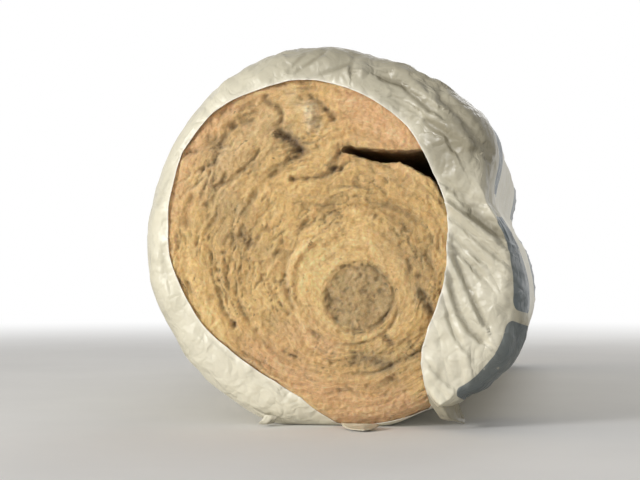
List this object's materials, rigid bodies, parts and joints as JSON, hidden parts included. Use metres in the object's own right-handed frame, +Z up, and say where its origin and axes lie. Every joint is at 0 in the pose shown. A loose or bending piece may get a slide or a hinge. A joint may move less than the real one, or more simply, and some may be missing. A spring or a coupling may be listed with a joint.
{
  "type": "insulation roll",
  "caption": "Wound glass-wool blanket lying on its side in a thin film sleeve, with its coil bare on both ends and a torn, loose flap of film at the front.",
  "frame": {"origin": "middle of the flat that the roll rests on, half way along the roll", "axes": "+Y along the roll from its torn front end to its back end, +Z up, +X across the roll"},
  "size_m": [0.4856, 1.2129, 0.4797],
  "materials": {
    "wool": "matt golden glass fibre, ragged where it was cut",
    "film": "thin off-white polythene film, creased, with plain grey-blue printed blocks"
  },
  "bodies": {
    "root": {"wool_blanket": "wool", "film_wrap": "film"}
  },
  "joints": []
}
